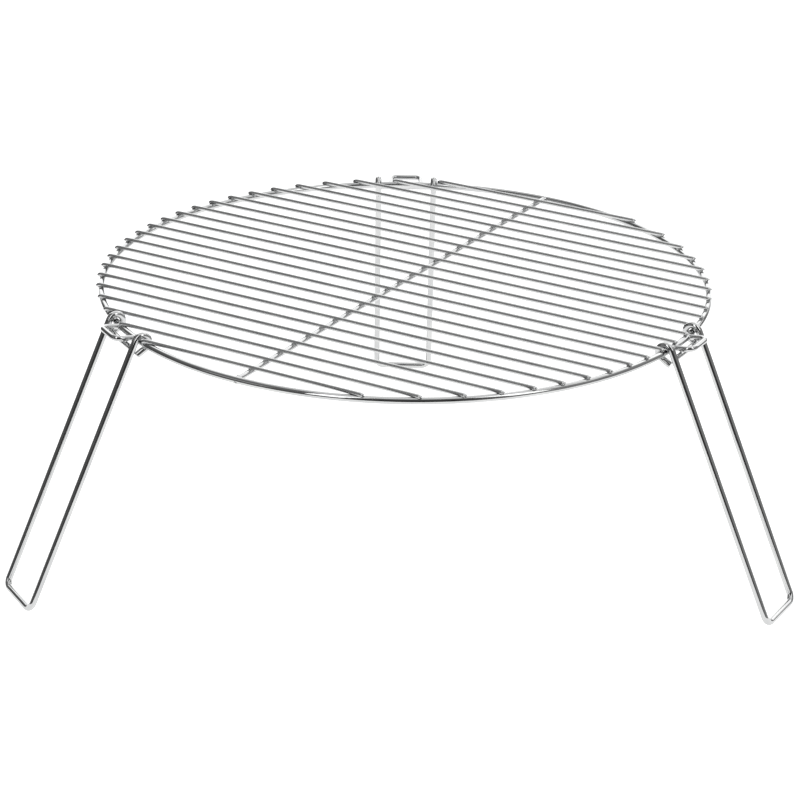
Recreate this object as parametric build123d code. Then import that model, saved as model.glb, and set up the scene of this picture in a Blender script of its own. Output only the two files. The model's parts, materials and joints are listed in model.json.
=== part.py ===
"""Round folding camp grill: a wire rim carrying parallel grate bars, on three hooked-on wire legs.

Everything is drawn in the grate's own frame first: origin at the rim's centre, rim in the XY plane,
bars on top (+Z), rear leg towards +Y. At the end the whole grill is stood on its feet and moved so
that the origin is the middle of its footprint on the ground. Lengths are in mm, angles in degrees.
"""
from build123d import *
import os
from math import atan2, cos, degrees, radians, sin, sqrt, tan

# ---------------------------------------------------------------- driving dimensions
RIM_DIAMETER = 500.0        # over the outside of the rim wire
HEAVY_WIRE = 5.5            # rim and legs
MEDIUM_WIRE = 4.5           # cross rod, leg brackets and stop bars
BAR_WIRE = 3.4              # grate bars
WELD_SINK = 0.6             # how far a welded wire is pressed into the one it crosses
SEAM_TURN = 180.0           # turn of a wire's section about its path, so that every weld is cut cleanly

BAR_COUNT = 24
BAR_SPAN = 457.5            # first bar to last bar, centre to centre
BAR_AZIMUTH = 330.0         # the bars run straight towards the right leg
BAR_BEND_RADIUS = 3.0       # centreline radius of the bent-down bar ends
BAR_END_BEND = {"left": 60.0, "right": 40.0}    # how far each end is bent down
BAR_END_REACH = {"left": 3.1, "right": 1.6}     # tip past the rim's centreline, square to it
BAR_END_LONGEST = 5.2       # longest overhang of an end that crosses the rim at a slant
BAR_END_AT_BRACKET = 2.0    # overhang of the two ends that stop short of a leg bracket

LEG_AZIMUTH = {"left": 209.7, "right": 330.0, "rear": 90.2}
LEG_SPLAY = {"left": 24.4, "right": 24.4, "rear": 21.0}    # outwards from straight down
LEG_LENGTH = 228.0          # along a strand, from the hinge axis's level to the middle of the foot wire
LEG_WIDTH = 50.0            # strand to strand, centre to centre
FOOT_BEND_RADIUS = 7.0
HOOK_RADIUS = 5.9           # centreline radius of the eye that each strand makes round the rim
HOOK_TAIL_START = 239.0     # where round the rim the eye ends, from outwards, over the top
HOOK_TAIL_LENGTH = 9.4      # straight end of the wire beyond the eye

STOP_BAR_DROP = 6.9         # below the point where a strand leaves its hook, along the strand
STOP_GAP = 0.3              # left between a stop bar and the bracket that it rests against
BRACKET_WIDTH = 27.0        # arm to arm, centre to centre
BRACKET_REACH = 16.2        # rim centreline to the bracket's outer wire
BRACKET_BEND_RADIUS = 5.5
BRACKET_RISE = 2.0          # how much higher the outer wire stands than the arms' roots

# ---------------------------------------------------------------- derived sizes
RIM_RADIUS = (RIM_DIAMETER - HEAVY_WIRE) / 2
BAR_PITCH = BAR_SPAN / (BAR_COUNT - 1)
BAR_HEIGHT = (HEAVY_WIRE + BAR_WIRE) / 2 - WELD_SINK
ROD_HEIGHT = BAR_HEIGHT - (BAR_WIRE + MEDIUM_WIRE) / 2 + WELD_SINK
HINGE_RADIUS = sqrt(RIM_RADIUS**2 - (LEG_WIDTH / 2) ** 2)    # grill's centre to a leg's hinge axis


def direction(azimuth):
    """Level unit vector at an azimuth, counted from +X towards +Y."""
    return Vector(cos(radians(azimuth)), sin(radians(azimuth)), 0)


def outward_plane(azimuth, radius):
    """Local frame on the rim: X outwards, Y along the rim, Z up."""
    return Plane(origin=direction(azimuth) * radius, x_dir=direction(azimuth), z_dir=(0, 0, 1))


def wire_along(path, diameter):
    """Round wire that follows a path of tangent lines and arcs."""
    start = Plane(origin=path @ 0, z_dir=path % 0)
    return sweep(start * Rot(Z=SEAM_TURN) * Circle(diameter / 2), path=path)


# ---------------------------------------------------------------- grate
def rim_ring():
    """One wire bent into a circle and butt-welded."""
    return Torus(RIM_RADIUS, HEAVY_WIRE / 2)


def bar_plane():
    """Local frame of the grate: X along the bars to their right ends, Y along the cross rod."""
    return Plane(origin=(0, 0, 0), x_dir=direction(BAR_AZIMUTH), z_dir=(0, 0, 1))


def bar_offset(number):
    """Place of bar 1 to BAR_COUNT along the cross rod, from the rod's middle."""
    return (number - (BAR_COUNT + 1) / 2) * BAR_PITCH


def bar_end_overhang(number, end):
    """How far past the rim's centreline a bar's tip reaches, along the bar."""
    # The left ends of the second and the second last bar come down beside a leg bracket.
    if end == "left" and number in (2, BAR_COUNT - 1):
        return BAR_END_AT_BRACKET
    slant = sqrt(1 - (bar_offset(number) / RIM_RADIUS) ** 2)
    return min(BAR_END_REACH[end] / slant, BAR_END_LONGEST)


def grate_bar(number):
    """Straight bar on top of the rim and the cross rod, with both ends bent down onto the rim."""
    offset = bar_offset(number)
    half_chord = sqrt(RIM_RADIUS**2 - offset**2)
    ends = {}
    for end, side in (("left", -1), ("right", 1)):
        bend = radians(BAR_END_BEND[end])
        tip = half_chord + bar_end_overhang(number, end)
        bend_start = tip - BAR_BEND_RADIUS * sin(bend)
        points = []
        for angle in (0, bend / 2, bend):
            x = side * (bend_start + BAR_BEND_RADIUS * sin(angle))
            z = BAR_HEIGHT - BAR_BEND_RADIUS * (1 - cos(angle))
            points.append(bar_plane().from_local_coords(Vector(x, offset, z)))
        ends[end] = points
    path = Wire([
        ThreePointArc(*reversed(ends["left"])).edge(),
        Line(ends["left"][0], ends["right"][0]).edge(),
        ThreePointArc(*ends["right"]).edge(),
    ])
    return wire_along(path, BAR_WIRE)


def cross_rod():
    """Rod under the middle of the bars, square to them, ending inside the rim wire's section."""
    half = bar_plane().y_dir * RIM_RADIUS
    height = Vector(0, 0, ROD_HEIGHT)
    return wire_along(Wire([Line(height - half, height + half).edge()]), MEDIUM_WIRE)


# ---------------------------------------------------------------- legs
def strand_top(splay):
    """Where a strand leaves its hook, as distances outwards and up from the hinge axis."""
    return HOOK_RADIUS * cos(radians(splay)), HOOK_RADIUS * sin(radians(splay))


def point_on_strand(splay, distance):
    """Point of a strand at a distance below its top, outwards and up from the hinge axis."""
    out, up = strand_top(splay)
    return out + distance * sin(radians(splay)), up - distance * cos(radians(splay))


def foot_wire(splay):
    """Middle of a leg's foot wire, outwards and up from the hinge axis."""
    below_rim_plane = HOOK_RADIUS * tan(radians(splay))
    return point_on_strand(splay, LEG_LENGTH + below_rim_plane)


def leg_wire(name):
    """One wire: tail, hook, strand, foot, strand, hook, tail."""
    plane = outward_plane(LEG_AZIMUTH[name], HINGE_RADIUS)
    splay = LEG_SPLAY[name]
    half_width = LEG_WIDTH / 2

    def place(out, along, up):
        return plane.from_local_coords(Vector(out, along, up))

    def on_eye(angle, along):
        return place(HOOK_RADIUS * cos(radians(angle)), along, HOOK_RADIUS * sin(radians(angle)))

    # The tail's angle to its strand is the same on every leg.
    tail_start = HOOK_TAIL_START - LEG_SPLAY["left"] + splay
    tail_out = HOOK_RADIUS * cos(radians(tail_start)) - HOOK_TAIL_LENGTH * sin(radians(tail_start))
    tail_up = HOOK_RADIUS * sin(radians(tail_start)) + HOOK_TAIL_LENGTH * cos(radians(tail_start))
    foot_out, foot_up = foot_wire(splay)

    def hook(along):
        """Edges from a wire's cut end to the top of its strand."""
        tail = Line(place(tail_out, along, tail_up), on_eye(tail_start, along))
        middle = (tail_start + splay) / 2
        eye = ThreePointArc(on_eye(tail_start, along), on_eye(middle, along), on_eye(splay, along))
        return tail.edge(), eye.edge()

    loop = FilletPolyline(
        on_eye(splay, -half_width),
        place(foot_out, -half_width, foot_up),
        place(foot_out, half_width, foot_up),
        on_eye(splay, half_width),
        radius=FOOT_BEND_RADIUS,
    )
    path = Wire([*hook(-half_width), *loop.edges(), *hook(half_width)])
    return wire_along(path, HEAVY_WIRE)


def leg_stop_bar(name):
    """Short bar welded between a leg's strands, just below the rim."""
    plane = outward_plane(LEG_AZIMUTH[name], HINGE_RADIUS)
    out, up = point_on_strand(LEG_SPLAY[name], STOP_BAR_DROP)
    ends = [plane.from_local_coords(Vector(out, side * LEG_WIDTH / 2, up)) for side in (-1, 1)]
    return wire_along(Wire([Line(*ends).edge()]), MEDIUM_WIRE)


def leg_bracket(name):
    """U of wire on the outside of the rim: a leg's stop bar comes up against its two arms."""
    plane = outward_plane(LEG_AZIMUTH[name], RIM_RADIUS)
    stop_out, stop_up = point_on_strand(LEG_SPLAY[name], STOP_BAR_DROP)
    stop_out -= RIM_RADIUS - HINGE_RADIUS
    slope = BRACKET_RISE / BRACKET_REACH
    arm_above_stop = (MEDIUM_WIRE + STOP_GAP) * sqrt(1 + slope**2)
    root = stop_up + arm_above_stop - slope * stop_out
    half_width = BRACKET_WIDTH / 2
    corners = [
        (0, -half_width, root),
        (BRACKET_REACH, -half_width, root + BRACKET_RISE),
        (BRACKET_REACH, half_width, root + BRACKET_RISE),
        (0, half_width, root),
    ]
    path = FilletPolyline(
        *[plane.from_local_coords(Vector(*corner)) for corner in corners],
        radius=BRACKET_BEND_RADIUS,
    )
    return wire_along(path, MEDIUM_WIRE)


# ---------------------------------------------------------------- assembly
def grate_parts():
    """Every piece of the welded grate, each cut to the wires that it is welded to."""
    ring = rim_ring()
    rod = cross_rod() - ring
    brackets = {name: leg_bracket(name) - ring for name in LEG_AZIMUTH}
    parts = {"rim_ring": ring, "cross_rod": rod}
    for number in range(1, BAR_COUNT + 1):
        parts[f"grate_bar_{number:02d}"] = grate_bar(number) - [ring, rod]
    for name, bracket in brackets.items():
        parts[f"{name}_leg_bracket"] = bracket
    return parts


def leg_parts(name):
    """The two pieces of one leg."""
    wire = leg_wire(name)
    return {
        f"{name}_leg_wire": wire,
        f"{name}_leg_stop_bar": leg_stop_bar(name) - wire,
    }


def foot_point(name):
    """Middle of a leg's foot wire, in the grate's frame."""
    out, up = foot_wire(LEG_SPLAY[name])
    return direction(LEG_AZIMUTH[name]) * (HINGE_RADIUS + out) + Vector(0, 0, up)


def lean():
    """Angle that the grate leans forward, because its rear leg stands steeper than the others."""
    front = foot_point("left")
    rear = foot_point("rear")
    return degrees(atan2(front.Z - rear.Z, rear.Y - front.Y))


def standing(parts):
    """Where the grate's frame goes so that the feet stand on the ground round the origin."""
    leaned = Rot(X=lean())
    box = Compound(children=[leaned * part for part in parts.values()]).bounding_box()
    middle = box.center()
    return Pos(-middle.X, -middle.Y, -box.min.Z) * leaned


def build():
    """All parts by node name, and the location that stands them on the ground."""
    parts = grate_parts()
    for name in LEG_AZIMUTH:
        parts.update(leg_parts(name))
    return parts, standing(parts)


PARTS, STAND = build()
os.makedirs("parts", exist_ok=True)
for node, shape in PARTS.items():
    export_step(STAND * shape, f"parts/{node}.step")
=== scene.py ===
"""Looks of the folding camp grill: smooth chromed wires, their welds, and a small pale studio.

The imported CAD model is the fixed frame. Each wire is swept again along its CAD node's centreline,
finely enough to mirror cleanly, and stands for that node. Lengths are in metres unless a name says
otherwise, and angles are in degrees.
"""
import json
from math import atan2, ceil, cos, degrees, pi, radians, sin, sqrt, tan

import bmesh
import bpy
import numpy as np
from mathutils import Matrix, Vector, noise


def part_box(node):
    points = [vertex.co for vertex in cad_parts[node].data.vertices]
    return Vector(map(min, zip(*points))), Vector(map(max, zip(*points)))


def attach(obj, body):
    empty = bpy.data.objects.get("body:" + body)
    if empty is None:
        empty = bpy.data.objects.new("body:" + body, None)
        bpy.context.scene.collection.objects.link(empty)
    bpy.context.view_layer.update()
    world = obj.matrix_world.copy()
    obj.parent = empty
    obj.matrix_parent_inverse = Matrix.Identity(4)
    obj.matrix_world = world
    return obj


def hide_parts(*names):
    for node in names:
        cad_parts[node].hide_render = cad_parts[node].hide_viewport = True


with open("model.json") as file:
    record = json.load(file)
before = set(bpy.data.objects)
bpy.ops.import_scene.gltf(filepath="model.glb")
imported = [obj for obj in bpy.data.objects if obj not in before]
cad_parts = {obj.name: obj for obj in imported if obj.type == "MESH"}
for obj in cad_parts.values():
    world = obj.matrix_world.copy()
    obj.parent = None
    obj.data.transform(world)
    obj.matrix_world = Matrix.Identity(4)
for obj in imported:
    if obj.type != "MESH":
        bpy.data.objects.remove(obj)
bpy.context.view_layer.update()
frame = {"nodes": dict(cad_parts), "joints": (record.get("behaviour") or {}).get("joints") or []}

# ---------------------------------------------------------------- driving dimensions, as in the CAD
MM = 0.001
HEAVY_WIRE = 5.5 * MM               # rim and legs
MEDIUM_WIRE = 4.5 * MM              # cross rod, leg brackets and stop bars
BAR_WIRE = 3.4 * MM
WELD_SINK = 0.6 * MM                # how far a welded wire is pressed into the one it crosses

BAR_SPAN = 457.5 * MM               # first bar to last bar
BAR_AZIMUTH = 330.0                 # the way that the bars' right ends point
BAR_BEND_RADIUS = 3.0 * MM
BAR_END_BEND = {-1: 60.0, 1: 40.0}  # left and right ends
BAR_END_REACH = {-1: 3.1 * MM, 1: 1.6 * MM}     # past the rim's centreline, square to the rim
BAR_END_LONGEST = 5.2 * MM
BAR_END_AT_BRACKET = 2.0 * MM       # the left ends of the second and the last bar but one

LEG_SPLAY = {"left": 24.4, "right": 24.4, "rear": 21.0}
LEG_AZIMUTH = {"left": 209.7, "right": 330.0, "rear": 90.2}
LEG_LENGTH = 228.0 * MM
LEG_WIDTH = 50.0 * MM               # between the centrelines of a leg's two strands
FOOT_BEND_RADIUS = 7.0 * MM
HOOK_RADIUS = 5.9 * MM
HOOK_TAIL_START = 239.0             # where a front leg's hook straightens into its tail
HOOK_TAIL_LENGTH = 9.4 * MM

STOP_BAR_DROP = 6.9 * MM            # below the hook, along the strands
STOP_GAP = 0.3 * MM                 # between a stop bar and its bracket
BRACKET_WIDTH = 27.0 * MM
BRACKET_REACH = 16.2 * MM           # out from the rim
BRACKET_BEND_RADIUS = 5.5 * MM
BRACKET_RISE = 2.0 * MM

# ---------------------------------------------------------------- how fine the wires are drawn
HEAVY_SIDES = 40                    # faces round a heavy or medium wire
BAR_SIDES = 28
ARC_STEP = 5.0                      # degrees between sections in a bend
RIM_SECTIONS = 480
RUN_STEP = 6.0 * MM                 # between sections on a straight run
WAVINESS = 0.05 * MM                # how far a hand-straightened wire strays
WAVE_LENGTH = 70.0 * MM
NOISE_SEED = 3                      # without one, the waves differ from run to run
WAVE_SEED_STEP = 7.3                # how far apart two wires' waves lie in the noise
WAVE_DEPTH = 0.5                    # off the noise's lattice, where it is always zero
ROD_SEED = 50                       # a bar's seed is its number
FIRST_LEG_SEED = 70
STRAIGHT = 1e-6                     # a curvature in 1/m below which a wire counts as straight
BEND_FLATTENING = 0.12              # how much a tight bend flattens the wire's section
SHARP_ANGLE = 50.0                  # an edge sharper than this stays crisp
CUT_SLANT = 0.10                    # slope of a sheared end
CUT_CLEARANCE = 1.2                 # from a cut end to the first plain section, in depths of its rounding
CUT_PROFILE = ((0.50, 1.0), (0.28, 0.985), (0.12, 0.94), (0.03, 0.87), (0.0, 0.80))  # inset, size, in radii

noise.seed_set(NOISE_SEED)

BAR_COUNT = sum(node.startswith("grate_bar_") for node in frame["nodes"])
HINGES = {joint["child"].removesuffix("_leg"): joint for joint in frame["joints"]}
RIM_LOW, RIM_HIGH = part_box("rim_ring")
RIM_RADIUS = (RIM_HIGH.x - RIM_LOW.x - HEAVY_WIRE) / 2
BAR_HEIGHT = (HEAVY_WIRE + BAR_WIRE) / 2 - WELD_SINK
ROD_HEIGHT = BAR_HEIGHT - (BAR_WIRE + MEDIUM_WIRE) / 2 + WELD_SINK
HINGE_RADIUS = sqrt(RIM_RADIUS**2 - (LEG_WIDTH / 2) ** 2)


# ---------------------------------------------------------------- places
def axes_at(origin, x, y, z):
    """Matrix of a local frame, from its origin and its three axes."""
    matrix = Matrix((x, y, z)).transposed().to_4x4()
    matrix.translation = origin
    return matrix


def grate_frame():
    """The grate's own frame: origin at the rim's centre, X and Y in the rim's plane, Z up out of it.

    It is solved from where the three hinges lie and from their azimuths round the rim.
    """
    around = []
    for azimuth in LEG_AZIMUTH.values():
        around.append((1, HINGE_RADIUS * cos(radians(azimuth)), HINGE_RADIUS * sin(radians(azimuth))))
    places = [HINGES[leg]["pos_m"] for leg in LEG_AZIMUTH]
    centre, x, y = (Vector(row) for row in np.linalg.solve(around, places))
    return axes_at(centre, x.normalized(), y.normalized(), x.cross(y).normalized())


GRATE = grate_frame()


def on_rim(azimuth, radius):
    """Local frame in the rim's plane: X outwards, Y along the rim, Z up."""
    turned = GRATE @ Matrix.Rotation(radians(azimuth), 4, "Z")
    return turned @ Matrix.Translation((radius, 0, 0))


BARS = GRATE @ Matrix.Rotation(radians(BAR_AZIMUTH), 4, "Z")    # X along the bars, Y along the cross rod


# ---------------------------------------------------------------- centrelines
def spaced(start, end, step):
    """Even values from start to end, about a step apart, with both ends."""
    return np.linspace(start, end, max(2, ceil(abs(end - start) / step) + 1))


def run(start, end):
    """Points of a straight run, without its last one."""
    shares = spaced(0, 1, RUN_STEP / (end - start).length)[:-1]
    return [start.lerp(end, share) for share in shares]


def rounded(corners, radius):
    """Points along straight runs, with every inner corner bent to a radius."""
    points = []
    start = corners[0]
    for before, corner, after in zip(corners, corners[1:], corners[2:]):
        into = (corner - before).normalized()
        out_of = (after - corner).normalized()
        turn = into.angle(out_of)
        bend_start = corner - into * radius * tan(turn / 2)
        to_centre = (out_of - into * into.dot(out_of)).normalized()
        points += run(start, bend_start)
        centre = bend_start + to_centre * radius
        for angle in spaced(0, turn, radians(ARC_STEP)):
            points.append(centre - to_centre * radius * cos(angle) + into * radius * sin(angle))
        start = points.pop()
    return points + run(start, corners[-1]) + [corners[-1]]


def rim_points():
    """The rim's centreline, once round."""
    turns = np.linspace(0, 360, RIM_SECTIONS, endpoint=False)
    return [on_rim(turn, RIM_RADIUS).translation for turn in turns]


def bar_offset(number):
    """Place of bar 1 to BAR_COUNT along the cross rod, from the rod's middle."""
    return (number - (BAR_COUNT + 1) / 2) * BAR_SPAN / (BAR_COUNT - 1)


def half_chord(number):
    """Half of a bar's length between the rim's centrelines."""
    return sqrt(RIM_RADIUS**2 - bar_offset(number) ** 2)


def bar_overhang(number, side):
    """How far past the rim's centreline a bar's tip reaches, along the bar."""
    if side < 0 and number in (2, BAR_COUNT - 1):
        return BAR_END_AT_BRACKET
    return min(BAR_END_REACH[side] * RIM_RADIUS / half_chord(number), BAR_END_LONGEST)


def bar_end(number, side):
    """Points of a bar's bent end, from the straight part to the tip."""
    bend = BAR_END_BEND[side]
    tip = half_chord(number) + bar_overhang(number, side)
    bend_start = tip - BAR_BEND_RADIUS * sin(radians(bend))
    points = []
    for angle in spaced(0, radians(bend), radians(ARC_STEP)):
        x = side * (bend_start + BAR_BEND_RADIUS * sin(angle))
        z = BAR_HEIGHT - BAR_BEND_RADIUS * (1 - cos(angle))
        points.append(BARS @ Vector((x, bar_offset(number), z)))
    return points


def bar_points(number):
    """A grate bar's centreline, from its left tip to its right tip."""
    left = bar_end(number, -1)
    right = bar_end(number, 1)
    return left[:0:-1] + run(left[0], right[0]) + right


def rod_points():
    """The cross rod's centreline, from rim wire to rim wire."""
    ends = [BARS @ Vector((0, side * RIM_RADIUS, ROD_HEIGHT)) for side in (-1, 1)]
    return run(*ends) + [ends[1]]


def on_strand(leg, distance):
    """Point of a strand at a distance below its hook, outwards and up from the hinge axis."""
    splay = radians(LEG_SPLAY[leg])
    out = HOOK_RADIUS * cos(splay) + distance * sin(splay)
    up = HOOK_RADIUS * sin(splay) - distance * cos(splay)
    return out, up


def leg_points(leg):
    """A leg's centreline: tail, hook, strand, foot, strand, hook, tail."""
    splay = LEG_SPLAY[leg]
    place = on_rim(LEG_AZIMUTH[leg], HINGE_RADIUS)
    tail_start = HOOK_TAIL_START - LEG_SPLAY["left"] + splay
    foot_out, foot_up = on_strand(leg, LEG_LENGTH + HOOK_RADIUS * tan(radians(splay)))

    def hook(along):
        """From the wire's cut end to the top of the strand, both included."""
        eye = []
        for angle in spaced(tail_start, splay, ARC_STEP):
            out = HOOK_RADIUS * cos(radians(angle))
            up = HOOK_RADIUS * sin(radians(angle))
            eye.append(place @ Vector((out, along, up)))
        tail_out = HOOK_RADIUS * cos(radians(tail_start)) - HOOK_TAIL_LENGTH * sin(radians(tail_start))
        tail_up = HOOK_RADIUS * sin(radians(tail_start)) + HOOK_TAIL_LENGTH * cos(radians(tail_start))
        return run(place @ Vector((tail_out, along, tail_up)), eye[0]) + eye

    first = hook(-LEG_WIDTH / 2)
    last = hook(LEG_WIDTH / 2)[::-1]
    feet = [place @ Vector((foot_out, side * LEG_WIDTH / 2, foot_up)) for side in (-1, 1)]
    return first[:-1] + rounded([first[-1], *feet, last[0]], FOOT_BEND_RADIUS) + last[1:]


def stop_bar_points(leg):
    """A stop bar's centreline, from strand to strand."""
    place = on_rim(LEG_AZIMUTH[leg], HINGE_RADIUS)
    out, up = on_strand(leg, STOP_BAR_DROP)
    ends = [place @ Vector((out, side * LEG_WIDTH / 2, up)) for side in (-1, 1)]
    return run(*ends) + [ends[1]]


def bracket_root(leg):
    """Height at which a bracket's arms meet the rim."""
    stop_out, stop_up = on_strand(leg, STOP_BAR_DROP)
    stop_out -= RIM_RADIUS - HINGE_RADIUS
    slope = BRACKET_RISE / BRACKET_REACH
    return stop_up + (MEDIUM_WIRE + STOP_GAP) * sqrt(1 + slope**2) - slope * stop_out


def bracket_points(leg):
    """A bracket's centreline, from the rim round the U and back to the rim."""
    place = on_rim(LEG_AZIMUTH[leg], RIM_RADIUS)
    root = bracket_root(leg)
    corners = []
    for side, out in ((-1, 0), (-1, 1), (1, 1), (1, 0)):
        corner = Vector((out * BRACKET_REACH, side * BRACKET_WIDTH / 2, root + out * BRACKET_RISE))
        corners.append(place @ corner)
    return rounded(corners, BRACKET_BEND_RADIUS)


# ---------------------------------------------------------------- wire meshes
def in_scene(name, data):
    """A new object in the scene, made from a mesh, a lamp or a camera."""
    piece = bpy.data.objects.new(name, data)
    bpy.context.scene.collection.objects.link(piece)
    return piece


def lengths_along(points):
    """Distance of each point from the first, along the wire."""
    steps = np.linalg.norm(np.diff(points, axis=0), axis=1)
    return np.concatenate(([0.0], np.cumsum(steps)))


def strayed(points, seed):
    """A wire's points moved aside a little, as on a wire that was straightened by hand."""
    moved = []
    for point, along in zip(points, lengths_along(points)):
        sway = noise.noise_vector(Vector((along / WAVE_LENGTH, seed * WAVE_SEED_STEP, WAVE_DEPTH)))
        moved.append(Vector(point) + sway * WAVINESS)
    return moved


def with_cut_ends(points, radius):
    """Points and section sizes of an open wire whose sheared ends are slightly rounded."""
    along = lengths_along(points)
    total = along[-1]
    clear = CUT_PROFILE[0][0] * radius * CUT_CLEARANCE
    inside = (along > clear) & (along < total - clear)
    stations = [(inset * radius, size) for inset, size in CUT_PROFILE[::-1]]
    stations += [(distance, 1.0) for distance in along[inside]]
    stations += [(total - inset * radius, size) for inset, size in CUT_PROFILE]
    distances, sizes = zip(*stations)
    coordinates = np.array(points)
    placed = np.column_stack([np.interp(distances, along, coordinates[:, i]) for i in range(3)])
    return [Vector(point) for point in placed], list(sizes)


def directions_along(points, closed):
    """Unit direction of the wire at each point."""
    coordinates = np.array(points)
    if closed:
        spans = np.roll(coordinates, -1, axis=0) - np.roll(coordinates, 1, axis=0)
    else:
        spans = np.gradient(coordinates, lengths_along(points), axis=0)
    return [Vector(span).normalized() for span in spans]


def section_axes(directions, first_normal):
    """Two axes of each section, turning as little as possible along the wire."""
    normal = (first_normal - directions[0] * first_normal.dot(directions[0])).normalized()
    axes = []
    for before, here in zip([directions[0]] + directions, directions):
        normal = before.rotation_difference(here) @ normal
        axes.append((normal, here.cross(normal)))
    return axes


def bend_vectors(points, directions, closed):
    """Curvature of the wire at each point, towards the inside of the bend, in 1/m."""
    along = lengths_along(points)
    turns = np.array(directions)
    if closed:
        step = 2 * (along[1] - along[0])
        bends = (np.roll(turns, -1, axis=0) - np.roll(turns, 1, axis=0)) / step
    else:
        bends = np.gradient(turns, along, axis=0)
    return [Vector(bend) for bend in bends]


def section(radius, axes, bend, sides):
    """Offsets of one section's corners. A tight bend flattens it, and widens it by half as much."""
    curvature = bend.length
    flattening = min(BEND_FLATTENING * curvature * radius, BEND_FLATTENING)
    widening = flattening / 2
    inwards = bend / curvature if curvature > STRAIGHT else Vector((0, 0, 0))
    normal, binormal = axes
    offsets = []
    for angle in np.linspace(0, 2 * pi, sides, endpoint=False):
        offset = (normal * cos(angle) + binormal * sin(angle)) * radius
        across = inwards * offset.dot(inwards)
        offsets.append(offset * (1 + widening) - across * (flattening + widening))
    return offsets


def wire(name, points, diameter, sides, closed=False):
    """A round wire along its centreline, which knows where each of its corners lies on the strand."""
    radius = diameter / 2
    up = GRATE.col[2].to_3d()
    sizes = [1.0] * len(points)
    if not closed:
        points, sizes = with_cut_ends(points, radius)
    directions = directions_along(points, closed)
    axes = section_axes(directions, up)
    bends = bend_vectors(points, directions, closed)
    along = lengths_along(points)

    vertices = []
    for point, direction, ring_axes, bend, size in zip(points, directions, axes, bends, sizes):
        slant = CUT_SLANT * (1 - size) / (1 - CUT_PROFILE[-1][1])
        for offset in section(radius, ring_axes, bend, sides):
            vertices.append(point + offset * size + direction * slant * offset.dot(ring_axes[0]))

    rings = len(points)
    faces = []
    for ring in range(rings if closed else rings - 1):
        here, there = ring * sides, (ring + 1) % rings * sides
        for side in range(sides):
            other = (side + 1) % sides
            faces.append((here + side, here + other, there + other, there + side))
    if not closed:
        faces.append(tuple(reversed(range(sides))))
        faces.append(tuple(range((rings - 1) * sides, rings * sides)))

    mesh = bpy.data.meshes.new(name)
    mesh.from_pydata(vertices, [], faces)
    mesh.update()
    add_strand_place(mesh, along, sides, radius, closed)
    mesh.shade_smooth()
    mesh.set_sharp_from_angle(angle=radians(SHARP_ANGLE))
    return in_scene(name, mesh)


def add_strand_place(mesh, along, sides, radius, closed):
    """Stores each face corner's place on the straightened wire, which the materials' patterns follow."""
    rings = len(along)
    place = mesh.attributes.new("strand", "FLOAT_VECTOR", "CORNER")
    corners = np.array([loop.vertex_index for loop in mesh.loops])
    ring = corners // sides
    angle = corners % sides * 2 * pi / sides
    distance = along[ring]
    if closed:
        # On the closing faces, the first ring's corners count as the end of the wire.
        whole = along[-1] + along[1]
        corners_per_face = 4
        last_faces = np.arange(len(corners)) // corners_per_face >= (rings - 1) * sides
        distance = np.where(last_faces & (ring == 0), whole, distance)
    values = np.column_stack([radius * np.cos(angle), radius * np.sin(angle), distance])
    place.data.foreach_set("vector", values.astype(np.float32).ravel())


# ---------------------------------------------------------------- welds
BEAD_LUMPINESS = 0.12       # share of its size by which a bead is lumpy
BEAD_LUMPS = 1.6            # lumps in half of its size
BEAD_SEED_STEP = (5.1, 2.3, 0)      # how far apart two beads' lumps lie in the noise
BEAD_DETAIL = 4             # subdivisions of the ball that it is made from

# Half sizes of the beads: outwards, along the rim and up. Where a bar crosses the rod, they are along the
# bar, along the rod and up.
ROD_CROSSING_BEAD = (1.5 * MM, 2.1 * MM, 0.95 * MM)
RIM_CROSSING_BEAD = (0.9 * MM, 1.8 * MM, 0.6 * MM)
ROD_END_COLLAR = (1.5 * MM, 3.0 * MM, 2.5 * MM)
ROD_END_SPOT = (1.4 * MM, 2.6 * MM, 1.7 * MM)
BRACKET_BEAD = (1.4 * MM, 2.9 * MM, 2.45 * MM)
STOP_BAR_BEAD = (2.4 * MM, 1.1 * MM, 2.6 * MM)

COLLAR_INSET = 2.6 * MM     # from the rim's centreline
SPOT_OUTSET = 1.5 * MM
SPOT_DROP = 1.0 * MM
BRACKET_BEAD_OUTSET = 2.3 * MM


def bead(mesh, matrix, half_sizes, seed):
    """Adds a lumpy bead of weld metal to a bmesh."""
    made = bmesh.ops.create_icosphere(mesh, subdivisions=BEAD_DETAIL, radius=1.0)
    shift = Vector([seed * step for step in BEAD_SEED_STEP])
    for vertex in made["verts"]:
        lump = noise.noise(vertex.co * BEAD_LUMPS + shift)
        shaped = vertex.co * (1 + BEAD_LUMPINESS * lump)
        local = Vector(a * b for a, b in zip(shaped, half_sizes))
        vertex.co = matrix @ local


def beads(name, places):
    """One piece that holds several weld beads. Each place is a matrix and a bead's half sizes."""
    mesh = bmesh.new()
    for seed, (matrix, half_sizes) in enumerate(places):
        bead(mesh, matrix, half_sizes, seed)
    data = bpy.data.meshes.new(name)
    mesh.to_mesh(data)
    mesh.free()
    data.shade_smooth()
    return in_scene(name, data)


def bar_to_rod_welds():
    """A saddle of weld metal at each crossing of a bar and the cross rod."""
    height = BAR_HEIGHT - BAR_WIRE / 2 + WELD_SINK / 2
    places = []
    for number in range(1, BAR_COUNT + 1):
        at = BARS @ Matrix.Translation((0, bar_offset(number), height))
        places.append((at, ROD_CROSSING_BEAD))
    return beads("bar_to_rod_welds", places)


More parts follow.
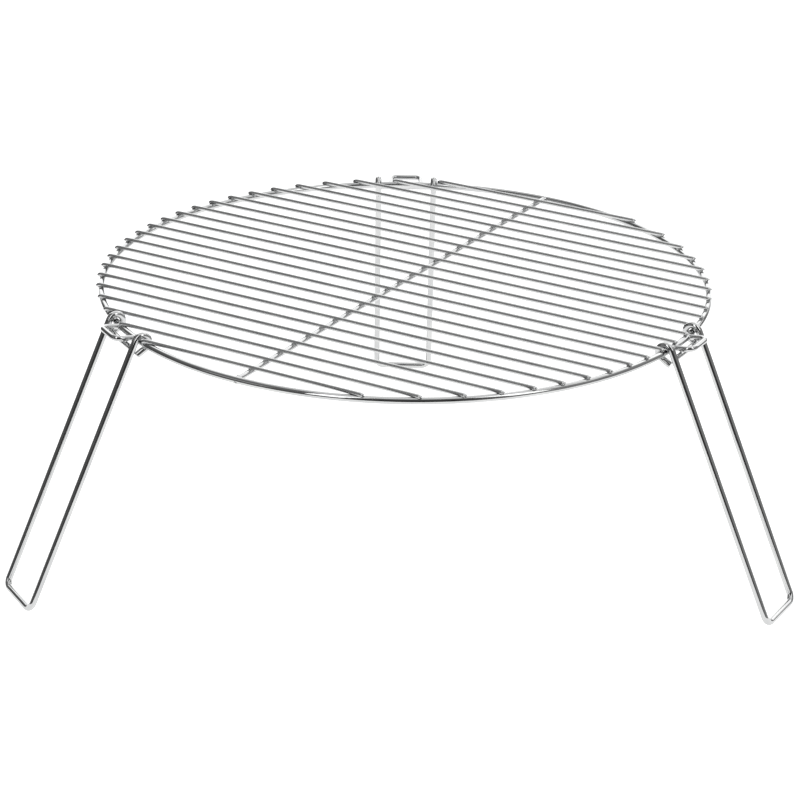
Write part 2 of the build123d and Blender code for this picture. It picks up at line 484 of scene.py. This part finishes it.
def bar_to_rim_welds():
    """A flat nugget of weld metal where each bar's end lies on the rim."""
    height = HEAVY_WIRE / 2 - WELD_SINK / 2
    places = []
    for number in range(1, BAR_COUNT + 1):
        for side in (-1, 1):
            azimuth = BAR_AZIMUTH + degrees(atan2(bar_offset(number), side * half_chord(number)))
            at = on_rim(azimuth, RIM_RADIUS) @ Matrix.Translation((0, 0, height))
            places.append((at, RIM_CROSSING_BEAD))
    return beads("bar_to_rim_welds", places)


def rod_end_welds():
    """The cross rod's two butt welds: a collar inside the rim and a pressed-out spot outside it."""
    places = []
    for azimuth in (BAR_AZIMUTH - 90, BAR_AZIMUTH + 90):
        collar = on_rim(azimuth, RIM_RADIUS - COLLAR_INSET) @ Matrix.Translation((0, 0, ROD_HEIGHT))
        spot = on_rim(azimuth, RIM_RADIUS + SPOT_OUTSET) @ Matrix.Translation((0, 0, -SPOT_DROP))
        places.append((collar, ROD_END_COLLAR))
        places.append((spot, ROD_END_SPOT))
    return beads("rod_end_welds", places)


def bracket_welds(leg):
    """The welds at the roots of a bracket's two arms."""
    places = []
    for side in (-1, 1):
        along = side * BRACKET_WIDTH / 2
        out = sqrt(RIM_RADIUS**2 - along**2) + BRACKET_BEAD_OUTSET
        at = on_rim(LEG_AZIMUTH[leg], 0) @ Matrix.Translation((out, along, bracket_root(leg)))
        places.append((at, BRACKET_BEAD))
    return beads(f"{leg}_bracket_welds", places)


def stop_bar_welds(leg):
    """The welds that hold a stop bar to the insides of a leg's two strands."""
    out, up = on_strand(leg, STOP_BAR_DROP)
    places = []
    for side in (-1, 1):
        along = side * (LEG_WIDTH - HEAVY_WIRE) / 2
        at = on_rim(LEG_AZIMUTH[leg], HINGE_RADIUS) @ Matrix.Translation((out, along, up))
        places.append((at, STOP_BAR_BEAD))
    return beads(f"{leg}_stop_bar_welds", places)


# ---------------------------------------------------------------- materials
CHROME_DARK = (0.50, 0.505, 0.51, 1)
CHROME_LIGHT = (0.60, 0.605, 0.60, 1)
WHITE = (1, 1, 1, 1)

# How many times a metre each pattern changes, across the strand both ways and along it.
CLOUD_SCALE = (140, 140, 40)
LINE_SCALE = (3600, 3600, 18)
RIPPLE_SCALE = (260, 260, 160)
PIT_SCALE = 520.0
WELD_CLOUD_SCALE = 300.0
WELD_SKIN_SCALE = 1400.0

CLOUD_DULLING = 0.06        # roughness that a pattern adds where it is strongest
LINE_DULLING = 0.05
PIT_DULLING = 0.25
PIT_CORE = 0.04             # radius of a pit's dull middle, in spaces between pits
PIT_EDGE = 0.13
LINE_DEPTH = 0.02 * MM
RIPPLE_DEPTH = 0.03 * MM
RIPPLE_STRENGTH = 0.25
WELD_SHINIEST = 0.10        # roughness of a bead, at the least and at the most
WELD_DULLEST = 0.24
WELD_SKIN_DEPTH = 0.06 * MM
WELD_SKIN_STRENGTH = 0.5

# Between which values of its noise a pattern comes from nothing to its full strength.
CLOUD_COLOUR_RANGE = (0.3, 0.7)
CLOUD_DULLING_RANGE = (0.35, 0.75)
LINE_DULLING_RANGE = (0.55, 0.8)
WELD_COLOUR_RANGE = (0.35, 0.65)
WELD_DULLING_RANGE = (0.3, 0.7)

MIX_FIRST_COLOUR = 6        # places of the colour sockets on a Mix node
MIX_SECOND_COLOUR = 7
MIX_COLOUR_RESULT = 2


class Nodes:
    """Short ways to build one node tree."""

    def __init__(self, tree):
        self.tree = tree
        tree.nodes.clear()

    def add(self, kind, inputs=None, **settings):
        node = self.tree.nodes.new(kind)
        for key, value in settings.items():
            setattr(node, key, value)
        for key, value in (inputs or {}).items():
            if isinstance(value, bpy.types.NodeSocket):
                self.tree.links.new(value, node.inputs[key])
            else:
                node.inputs[key].default_value = value
        return node

    def noise(self, vector, detail, scale=1.0, roughness=0.5):
        inputs = {"Vector": vector, "Scale": scale, "Detail": detail, "Roughness": roughness}
        return self.add("ShaderNodeTexNoise", inputs).outputs["Fac"]

    def stretched(self, vector, scale):
        return self.add("ShaderNodeVectorMath", {0: vector, 1: scale}, operation="MULTIPLY").outputs["Vector"]

    def mapped(self, value, low, high, to_low, to_high):
        inputs = {"Value": value, "From Min": low, "From Max": high, "To Min": to_low, "To Max": to_high}
        return self.add("ShaderNodeMapRange", inputs).outputs["Result"]

    def joined(self, operation, values):
        result = values[0]
        for value in values[1:]:
            result = self.add("ShaderNodeMath", {0: result, 1: value}, operation=operation).outputs["Value"]
        return result

    def sum(self, *values):
        return self.joined("ADD", values)

    def product(self, *values):
        return self.joined("MULTIPLY", values)

    def bump(self, height, strength, distance, normal=None):
        inputs = {"Height": height, "Strength": strength, "Distance": distance}
        if normal:
            inputs["Normal"] = normal
        return self.add("ShaderNodeBump", inputs).outputs["Normal"]


def new_material(name):
    """A material, with its empty node tree."""
    material = bpy.data.materials.new(name)
    material.use_nodes = True
    return material, Nodes(material.node_tree)


def chrome_colour(nodes, share):
    """The plating's colour, from dark at a share of 0 to light at 1."""
    mix = nodes.add("ShaderNodeMix", {
        "Factor": share, MIX_FIRST_COLOUR: CHROME_DARK, MIX_SECOND_COLOUR: CHROME_LIGHT,
    }, data_type="RGBA")
    return mix.outputs[MIX_COLOUR_RESULT]


def metal_surface(nodes, colour, roughness, normal):
    """Finishes a material as bare metal."""
    shader = nodes.add("ShaderNodeBsdfPrincipled", {
        "Base Color": colour, "Metallic": 1.0, "Roughness": roughness, "Normal": normal,
    })
    nodes.add("ShaderNodeOutputMaterial", {"Surface": shader.outputs["BSDF"]})


def chrome(name, roughness, line_strength):
    """Bright plating on drawn wire: faint lines along the strand, cloudy patches and a few pits."""
    material, nodes = new_material(name)
    strand = nodes.add("ShaderNodeAttribute", attribute_name="strand").outputs["Vector"]
    cloud = nodes.noise(nodes.stretched(strand, CLOUD_SCALE), detail=3.0, roughness=0.55)
    lines = nodes.noise(nodes.stretched(strand, LINE_SCALE), detail=2.0, roughness=0.6)
    ripple = nodes.noise(nodes.stretched(strand, RIPPLE_SCALE), detail=1.0)
    pits = nodes.add("ShaderNodeTexVoronoi", {"Vector": strand, "Scale": PIT_SCALE}).outputs["Distance"]

    colour = chrome_colour(nodes, nodes.mapped(cloud, *CLOUD_COLOUR_RANGE, 0.0, 1.0))
    dulled = nodes.sum(
        nodes.mapped(cloud, *CLOUD_DULLING_RANGE, roughness, roughness + CLOUD_DULLING),
        nodes.mapped(lines, *LINE_DULLING_RANGE, 0.0, LINE_DULLING),
        nodes.mapped(pits, PIT_CORE, PIT_EDGE, PIT_DULLING, 0.0),
    )
    drawn = nodes.bump(lines, line_strength, LINE_DEPTH)
    metal_surface(nodes, colour, dulled, nodes.bump(ripple, RIPPLE_STRENGTH, RIPPLE_DEPTH, drawn))
    return material


def weld_metal():
    """Chrome over weld beads: the same colour, duller, with a lumpy skin."""
    material, nodes = new_material("weld_chrome")
    place = nodes.add("ShaderNodeTexCoord").outputs["Object"]
    skin = nodes.noise(place, scale=WELD_SKIN_SCALE, detail=3.0, roughness=0.6)
    cloud = nodes.noise(place, scale=WELD_CLOUD_SCALE, detail=2.0)
    colour = chrome_colour(nodes, nodes.mapped(cloud, *WELD_COLOUR_RANGE, 0.0, 1.0))
    roughness = nodes.mapped(skin, *WELD_DULLING_RANGE, WELD_SHINIEST, WELD_DULLEST)
    metal_surface(nodes, colour, roughness, nodes.bump(skin, WELD_SKIN_STRENGTH, WELD_SKIN_DEPTH))
    return material


RIM_CHROME = chrome("rim_chrome", roughness=0.05, line_strength=0.35)
BAR_CHROME = chrome("bar_chrome", roughness=0.20, line_strength=0.45)
LEG_CHROME = chrome("leg_chrome", roughness=0.05, line_strength=0.35)
WELD_CHROME = weld_metal()


# ---------------------------------------------------------------- pieces
def dressed(piece, material, slot, body, *nodes):
    """Gives a piece its material and its body, and hides the CAD nodes that it stands for."""
    piece.data.materials.append(material)
    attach(piece, body)
    if nodes:
        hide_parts(*nodes)


def grate_pieces():
    """The welded grate."""
    rim = wire("rim", rim_points(), HEAVY_WIRE, HEAVY_SIDES, closed=True)
    dressed(rim, RIM_CHROME, "rim_chrome", "grate", "rim_ring")
    rod = wire("rod", strayed(rod_points(), ROD_SEED), MEDIUM_WIRE, HEAVY_SIDES)
    dressed(rod, RIM_CHROME, "rim_chrome", "grate", "cross_rod")
    for number in range(1, BAR_COUNT + 1):
        bar = wire(f"bar_{number:02d}", strayed(bar_points(number), number), BAR_WIRE, BAR_SIDES)
        dressed(bar, BAR_CHROME, "bar_chrome", "grate", f"grate_bar_{number:02d}")
    for weld in (bar_to_rod_welds(), bar_to_rim_welds(), rod_end_welds()):
        dressed(weld, WELD_CHROME, "rim_chrome", "grate")


def leg_pieces(leg):
    """One leg, and the bracket on the rim that stops it."""
    body = f"{leg}_leg"
    seed = FIRST_LEG_SEED + list(LEG_SPLAY).index(leg)
    bracket = wire(f"{leg}_bracket", bracket_points(leg), MEDIUM_WIRE, HEAVY_SIDES)
    dressed(bracket, RIM_CHROME, "rim_chrome", "grate", f"{leg}_leg_bracket")
    dressed(bracket_welds(leg), WELD_CHROME, "rim_chrome", "grate")
    strand = wire(f"{leg}_leg", strayed(leg_points(leg), seed), HEAVY_WIRE, HEAVY_SIDES)
    dressed(strand, LEG_CHROME, "leg_chrome", body, f"{leg}_leg_wire")
    stop = wire(f"{leg}_stop_bar", stop_bar_points(leg), MEDIUM_WIRE, HEAVY_SIDES)
    dressed(stop, LEG_CHROME, "leg_chrome", body, f"{leg}_leg_stop_bar")
    dressed(stop_bar_welds(leg), WELD_CHROME, "leg_chrome", body)


grate_pieces()
for leg_name in LEG_SPLAY:
    leg_pieces(leg_name)


# ---------------------------------------------------------------- studio
TABLE_RADIUS = 0.9
TABLE_SIDES = 128
TABLE_GLOW = 0.95           # light that comes up through the translucent table
TABLE_PAINT = (0.5, 0.5, 0.5, 1)
LEFT_WALL = 0.12            # light from the room's left
FRONT_WALL = 0.035          # from its front
RIGHT_WALL = 0.30           # from its right
WHITE_PAPER = 1.6           # from the paper behind the table
CEILING_LIGHT = 0.16        # how much lighter it gets towards the zenith
BACKDROP = 1.2              # what the camera sees past the table

# Where each of these begins and where it has fully come or gone, as parts of a unit direction.
LEFT_FADE = (-0.7, 0.0)             # along X
RIGHT_FADE = (0.3, 0.8)
CEILING_FADE = (0.3, 1.0)           # along Z
PAPER_FRONT = (0.2, 0.5)            # along Y
PAPER_SIDES = (0.40, 0.60)          # along X, both ways
PAPER_TOP = (0.60, 0.90)            # along Z

# Name, place, width, height and power in watts.
SOFTBOXES = (
    ("top_softbox", (0.7, 0.2, 3.0), 3.2, 4.0, 30.0),
    ("left_softbox", (-0.93, -1.90, 1.70), 0.60, 2.4, 9.5),
    ("right_softbox", (1.40, -1.45, 1.81), 0.66, 1.9, 8.0),
    ("side_softbox", (-2.08, -1.17, 1.25), 1.2, 0.7, 0.8),
    ("rear_softbox", (1.95, 1.30, 1.30), 1.0, 1.3, 5.0),
)


def floor():
    """A plain pale round table, lit from below like a product table."""
    mesh = bmesh.new()
    bmesh.ops.create_circle(mesh, cap_ends=True, segments=TABLE_SIDES, radius=TABLE_RADIUS)
    data = bpy.data.meshes.new("floor")
    mesh.to_mesh(data)
    mesh.free()
    material, nodes = new_material("floor")
    paint = nodes.add("ShaderNodeBsdfDiffuse", {"Color": TABLE_PAINT})
    glow = nodes.add("ShaderNodeEmission", {"Color": WHITE, "Strength": TABLE_GLOW})
    both = nodes.add("ShaderNodeAddShader", {0: paint.outputs["BSDF"], 1: glow.outputs["Emission"]})
    nodes.add("ShaderNodeOutputMaterial", {"Surface": both.outputs["Shader"]})
    data.materials.append(material)
    piece = in_scene("floor", data)


def surroundings():
    """A dim room with white paper behind the table. Straight past the table, the camera sees plain white."""
    world = bpy.data.worlds.new("room")
    bpy.context.scene.world = world
    world.use_nodes = True
    nodes = Nodes(world.node_tree)
    direction = nodes.add("ShaderNodeTexCoord").outputs["Generated"]
    parts = nodes.add("ShaderNodeSeparateXYZ", {0: direction}).outputs
    sideways = nodes.add("ShaderNodeMath", {0: parts["X"]}, operation="ABSOLUTE").outputs["Value"]
    room = nodes.sum(
        nodes.mapped(parts["X"], *LEFT_FADE, LEFT_WALL - FRONT_WALL, 0.0),
        nodes.mapped(parts["X"], *RIGHT_FADE, FRONT_WALL, RIGHT_WALL),
        nodes.mapped(parts["Z"], *CEILING_FADE, 0.0, CEILING_LIGHT),
    )
    paper = nodes.product(
        nodes.mapped(parts["Y"], *PAPER_FRONT, 0.0, WHITE_PAPER),
        nodes.mapped(sideways, *PAPER_SIDES, 1.0, 0.0),
        nodes.mapped(parts["Z"], *PAPER_TOP, 1.0, 0.0),
    )
    seen = nodes.add("ShaderNodeBackground", {"Color": WHITE, "Strength": BACKDROP})
    mirrored = nodes.add("ShaderNodeBackground", {"Color": WHITE, "Strength": nodes.sum(room, paper)})
    straight = nodes.add("ShaderNodeLightPath").outputs["Is Camera Ray"]
    either = nodes.add("ShaderNodeMixShader", {
        0: straight, 1: mirrored.outputs["Background"], 2: seen.outputs["Background"],
    })
    nodes.add("ShaderNodeOutputWorld", {"Surface": either.outputs["Shader"]})


def softbox(name, place, width, height, power):
    """A rectangular light that faces the grill's middle."""
    data = bpy.data.lights.new(name, "AREA")
    data.shape = "RECTANGLE"
    data.size = width
    data.size_y = height
    data.energy = power
    lamp = in_scene(name, data)
    lamp.location = place
    lamp.rotation_euler = (GRATE.translation - Vector(place)).to_track_quat("-Z", "Y").to_euler()


# ---------------------------------------------------------------- camera
CAMERA_DISTANCE = 2.1208        # from the rim's centre
CAMERA_ELEVATION = 20.686       # above the rim's plane
CAMERA_PAN = -0.075             # how far it looks past the rim's centre
CAMERA_TILT = -2.631
CAMERA_ROLL = 0.991
LENS = 116.42                   # in millimetres, like the sensor's width
SENSOR_WIDTH = 36.0
NEAREST_SEEN = 0.05
FARTHEST_SEEN = 100.0


def camera():
    """The camera, in front of the grill and a little above it, placed from the grate's frame."""
    elevation = radians(CAMERA_ELEVATION)
    place = Vector((0, -CAMERA_DISTANCE * cos(elevation), CAMERA_DISTANCE * sin(elevation)))
    down = radians(CAMERA_TILT) - elevation
    pan = radians(CAMERA_PAN)
    ahead = Vector((sin(pan) * cos(down), cos(pan) * cos(down), sin(down)))
    level_right = ahead.cross(Vector((0, 0, 1))).normalized()
    level_up = level_right.cross(ahead)
    roll = radians(CAMERA_ROLL)
    right = level_right * cos(roll) + level_up * sin(roll)
    up = level_up * cos(roll) - level_right * sin(roll)
    data = bpy.data.cameras.new("camera")
    data.lens = LENS
    data.sensor_width = SENSOR_WIDTH
    data.clip_start = NEAREST_SEEN
    data.clip_end = FARTHEST_SEEN
    piece = in_scene("camera", data)
    piece.matrix_world = GRATE @ axes_at(place, right, up, -ahead)
    bpy.context.scene.camera = piece


floor()
surroundings()
for row in SOFTBOXES:
    softbox(*row)
camera()
bpy.context.scene.view_settings.view_transform = "Standard"
